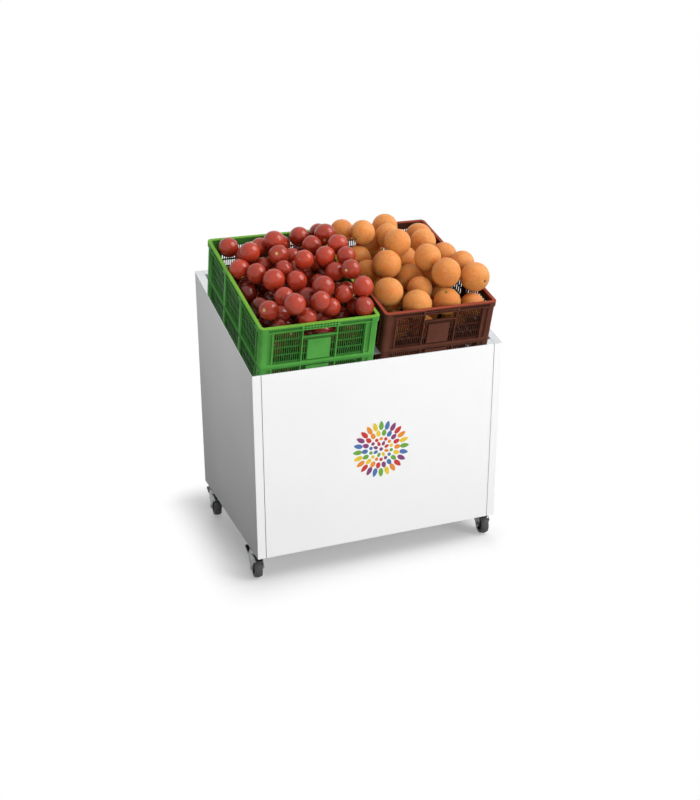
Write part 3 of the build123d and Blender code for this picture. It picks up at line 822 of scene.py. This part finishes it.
# The deep colour serves both the chance tone and the painted shade of buried fruit.
peel = deepened(tree, cloud, (190, 118, 57))
place = add_node(tree, "ShaderNodeTexCoord")
pores = add_node(tree, "ShaderNodeTexVoronoi", {"Scale": pore_scale})
tree.links.new(place.outputs["Object"], pores.inputs["Vector"])
in_pore = add_node(tree, "ShaderNodeMapRange", pore_ramp)
tree.links.new(pores.outputs["Distance"], in_pore.inputs["Value"])
pored = blend_colours(tree, in_pore.outputs["Result"], peel, chart_colour(178, 84, 26))
button = mark_on(tree, outside=0.962, inside=0.974, lobes=5.0, lobe_depth=0.004)
buttoned = blend_colours(tree, button, pored, chart_colour(70, 84, 36))
tree.links.new(buttoned, shader.inputs["Base Color"])
bump = add_node(tree, "ShaderNodeBump", {"Strength": 0.4, "Distance": 0.001})
tree.links.new(pores.outputs["Distance"], bump.inputs["Height"])
tree.links.new(shader.inputs["Normal"].links[0].from_socket, bump.inputs["Normal"])
tree.links.new(bump.outputs["Normal"], shader.inputs["Normal"])
orange_heap.data.materials.clear()
orange_heap.data.materials.append(orange_peel)
print("oranges finished")

# %% [markdown]
# ## Rosette
#
# The front carries a plain rosette of about 200 mm in the colours of fruit: leaves, dots and petals of
# thin vinyl, in rings around the middle. Colour on the panel could draw it too, but cut vinyl has clean
# edges from close by, so it is real shapes. One of each kind is made from a disc, whose tip is pulled
# out and whose face is extruded to the vinyl's thickness, and the rings are turned copies of it.

# %% Vinyl shapes
vinyl_thickness = 0.0003
tip_margin = 1e-6


def vinyl_shape(name, width, length, tip):
    """Disc of vinyl with a pulled tip, lying flat with the tip along Y."""
    bpy.ops.object.select_all(action="DESELECT")
    bpy.ops.mesh.primitive_circle_add(vertices=28, radius=0.5, fill_type="NGON")
    shape = bpy.context.object
    shape.name = name
    bpy.ops.object.mode_set(mode="EDIT")
    bpy.ops.mesh.select_all(action="SELECT")
    bpy.ops.transform.resize(value=(width, length, 1.0))
    bpy.ops.object.mode_set(mode="OBJECT")
    highest = max(vertex.co.y for vertex in shape.data.vertices)
    for part in (shape.data.polygons, shape.data.edges):
        for item in part:
            item.select = False
    for vertex in shape.data.vertices:
        vertex.select = vertex.co.y > highest - tip_margin
    bpy.ops.object.mode_set(mode="EDIT")
    bpy.ops.transform.translate(
        value=(0.0, tip, 0.0),
        use_proportional_edit=True,
        proportional_edit_falloff="SHARP",
        proportional_size=width,
    )
    bpy.ops.mesh.select_all(action="SELECT")
    bpy.ops.mesh.extrude_region_move(TRANSFORM_OT_translate={"value": (0.0, 0.0, vinyl_thickness)})
    bpy.ops.mesh.select_all(action="SELECT")
    bpy.ops.mesh.normals_make_consistent(inside=False)
    bpy.ops.object.mode_set(mode="OBJECT")
    return shape


print("vinyl is", vinyl_thickness, "m thick")

# %% Vinyl colours
vinyl_fade = 0.93
vinyl_look = {"cloud_scale": 60.0, "gloss": (0.3, 0.4), "grain": (800.0, 0.03)}
vinyl_colours = {
    "leaf green": (104, 166, 54),
    "lemon": (238, 204, 50),
    "orange": (234, 140, 40),
    "red": (200, 48, 44),
    "plum": (128, 58, 112),
    "blue": (74, 112, 170),
}
vinyls = [
    finish(f"vinyl {label}", colour, [vinyl_fade * value for value in colour], **vinyl_look)
    for label, colour in vinyl_colours.items()
]
print("vinyl colours:", len(vinyls))

# %% Rosette
rosette_middle = Vector((0.0, -0.325, 0.415))
vinyl_lift = 0.00002
# Shape, width, length, pull of the tip, count, radius of the ring, and its turn in steps of the ring
rings = [
    ("leaf", 0.0165, 0.026, 0.006, 24, 0.082, 0.0),
    ("petal", 0.016, 0.020, 0.003, 18, 0.0575, 0.5),
    ("dot", 0.0125, 0.0125, 0.0, 14, 0.0375, 0.0),
    ("bud", 0.0115, 0.015, 0.002, 8, 0.0205, 0.5),
    ("middle dot", 0.013, 0.013, 0.0, 1, 0.0, 0.0),
]
on_panel = Matrix.Translation(rosette_middle) @ Matrix.Rotation(math.radians(90.0), 4, "X")
copies = []
for ring, (label, width, length, tip, count, radius, offset) in enumerate(rings):
    shape = vinyl_shape(f"{label} shape", width, length, tip)
    for index in range(count):
        turn = Matrix.Rotation(math.tau * (index + offset) / count, 4, "Z")
        mesh = shape.data.copy()
        mesh.transform(on_panel @ turn @ Matrix.Translation((0.0, radius, vinyl_lift)))
        mesh.materials.append(vinyls[(index + ring) % len(vinyls)])
        copy = bpy.data.objects.new("rosette", mesh)
        scene.collection.objects.link(copy)
        copies.append(copy)
    bpy.data.objects.remove(shape)
rosette = join_all(copies)
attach(rosette, "stand")
print("rosette:", len(copies), "vinyl shapes,", len(rosette.data.materials), "colours")

# %% [markdown]
# ## Studio
#
# The stand is shown on white. The floor takes a soft shadow around the stand and turns plain white
# further out. Only the camera and reflections see that white: for the light that bounces about, the
# floor is darker, so that the stand's shaded side stays shaded.

# %% Floor
floor_size = 24.0
bpy.ops.mesh.primitive_plane_add(size=floor_size, location=(0.0, 0.0, 0.0))
floor = bpy.context.object
floor.name = "floor"
pale_floor = bpy.data.materials.new("pale floor")
pale_floor.use_nodes = True
floor.data.materials.append(pale_floor)
print("floor:", floor_size, "m")


# %% Floor finish
def seen_rays(tree):
    """Value of one for rays from the camera, in reflections and through glass."""
    rays = add_node(tree, "ShaderNodeLightPath")
    value = rays.outputs["Is Camera Ray"]
    for kind in ("Is Glossy Ray", "Is Transmission Ray"):
        either = add_node(tree, "ShaderNodeMath", operation="MAXIMUM")
        tree.links.new(value, either.inputs[0])
        tree.links.new(rays.outputs[kind], either.inputs[1])
        value = either.outputs["Value"]
    return value


stand_half = Vector((0.44, 0.33, 0.0))
shadow_reach, least_glow = 0.17, 0.26
seen_grey, bouncing_grey = (0.9, 0.9, 0.9, 1.0), (0.06, 0.06, 0.06, 1.0)
white_ramp = {"From Max": shadow_reach, "To Min": least_glow}
tree = pale_floor.node_tree
tree.nodes.clear()
seen = seen_rays(tree)
bouncing = add_node(tree, "ShaderNodeBsdfDiffuse", {"Color": bouncing_grey})
pale = add_node(tree, "ShaderNodeBsdfDiffuse", {"Color": seen_grey})
glow = add_node(tree, "ShaderNodeEmission")
place = add_node(tree, "ShaderNodeTexCoord")
aside = add_node(tree, "ShaderNodeVectorMath", operation="ABSOLUTE")
beyond = add_node(tree, "ShaderNodeVectorMath", operation="SUBTRACT")
beyond.inputs[1].default_value = stand_half
outside = add_node(tree, "ShaderNodeVectorMath", operation="MAXIMUM")
distance = add_node(tree, "ShaderNodeVectorMath", operation="LENGTH")
fade = add_node(tree, "ShaderNodeMapRange", white_ramp, interpolation_type="SMOOTHSTEP")
seen_fade = add_node(tree, "ShaderNodeMath", operation="MULTIPLY")
matt = add_node(tree, "ShaderNodeMixShader")
blend = add_node(tree, "ShaderNodeMixShader")
out = add_node(tree, "ShaderNodeOutputMaterial")
link = tree.links.new
link(place.outputs["Object"], aside.inputs[0])
link(aside.outputs["Vector"], beyond.inputs[0])
link(beyond.outputs["Vector"], outside.inputs[0])
link(outside.outputs["Vector"], distance.inputs[0])
link(distance.outputs["Value"], fade.inputs["Value"])
link(fade.outputs["Result"], seen_fade.inputs[0])
link(seen, seen_fade.inputs[1])
link(seen, matt.inputs["Fac"])
link(bouncing.outputs["BSDF"], matt.inputs[1])
link(pale.outputs["BSDF"], matt.inputs[2])
link(seen_fade.outputs["Value"], blend.inputs["Fac"])
link(matt.outputs["Shader"], blend.inputs[1])
link(glow.outputs["Emission"], blend.inputs[2])
link(blend.outputs["Shader"], out.inputs["Surface"])
print("floor: shadow fades over", shadow_reach)

# %% [markdown]
# The world is white where it is seen and quiet where it lights. A bright white world would light the
# stand evenly from all sides and leave no shape in it, so the light is left to lamps.

# %% World
white = (1.0, 1.0, 1.0, 1.0)
quiet_strength = 0.03
world = bpy.data.worlds.new("studio")
scene.world = world
world.use_nodes = True
tree = world.node_tree
tree.nodes.clear()
quiet_sky = add_node(tree, "ShaderNodeBackground", {"Color": white, "Strength": quiet_strength})
white_sky = add_node(tree, "ShaderNodeBackground", {"Color": white})
blend = add_node(tree, "ShaderNodeMixShader")
out = add_node(tree, "ShaderNodeOutputWorld")
tree.links.new(seen_rays(tree), blend.inputs["Fac"])
tree.links.new(quiet_sky.outputs["Background"], blend.inputs[1])
tree.links.new(white_sky.outputs["Background"], blend.inputs[2])
tree.links.new(blend.outputs["Shader"], out.inputs["Surface"])
print("world lights with", quiet_strength)

# %% [markdown]
# A large lamp in front and one far off at an angle light the front panel, one at the upper right gives
# the fruit its highlights, and one overhead lights the heap and draws the shadow. One behind lights the
# back, and a small one at the upper left lifts the top of the shaded side. Only the lamp at the upper
# right shows in reflections, so that the steel strips and the fruit don't fill with lamps.

# %% Lamps
stand_middle = (0.0, 0.0, 0.6)
left_side_top = (-0.44, 0.0, 1.1)


def soft_lamp(name, place, size, power, target=stand_middle, spread=180.0, mirrored=False):
    """Square lamp that faces a target, and shows in reflections only where it says so."""
    data = bpy.data.lights.new(name, "AREA")
    data.size = size
    data.energy = power
    data.spread = math.radians(spread)
    lamp = bpy.data.objects.new(name, data)
    lamp.location = place
    lamp.rotation_euler = (Vector(target) - Vector(place)).to_track_quat("-Z", "Y").to_euler()
    lamp.visible_camera = False
    lamp.visible_glossy = mirrored
    scene.collection.objects.link(lamp)


soft_lamp("front lamp", (-0.5, -4.6, 1.4), size=2.6, power=116.0)
soft_lamp("oblique lamp", (5.4, -5.6, 2.8), size=3.0, power=212.0)
soft_lamp("right lamp", (2.9, -1.7, 3.9), size=3.2, power=162.0, mirrored=True)
soft_lamp("top lamp", (0.0, 0.6, 4.2), size=2.8, power=45.0)
soft_lamp("back lamp", (0.8, 5.0, 1.8), size=2.6, power=130.0)
soft_lamp("left lamp", (-3.2, -0.4, 1.6), size=0.8, power=2.4, target=left_side_top, spread=50.0)
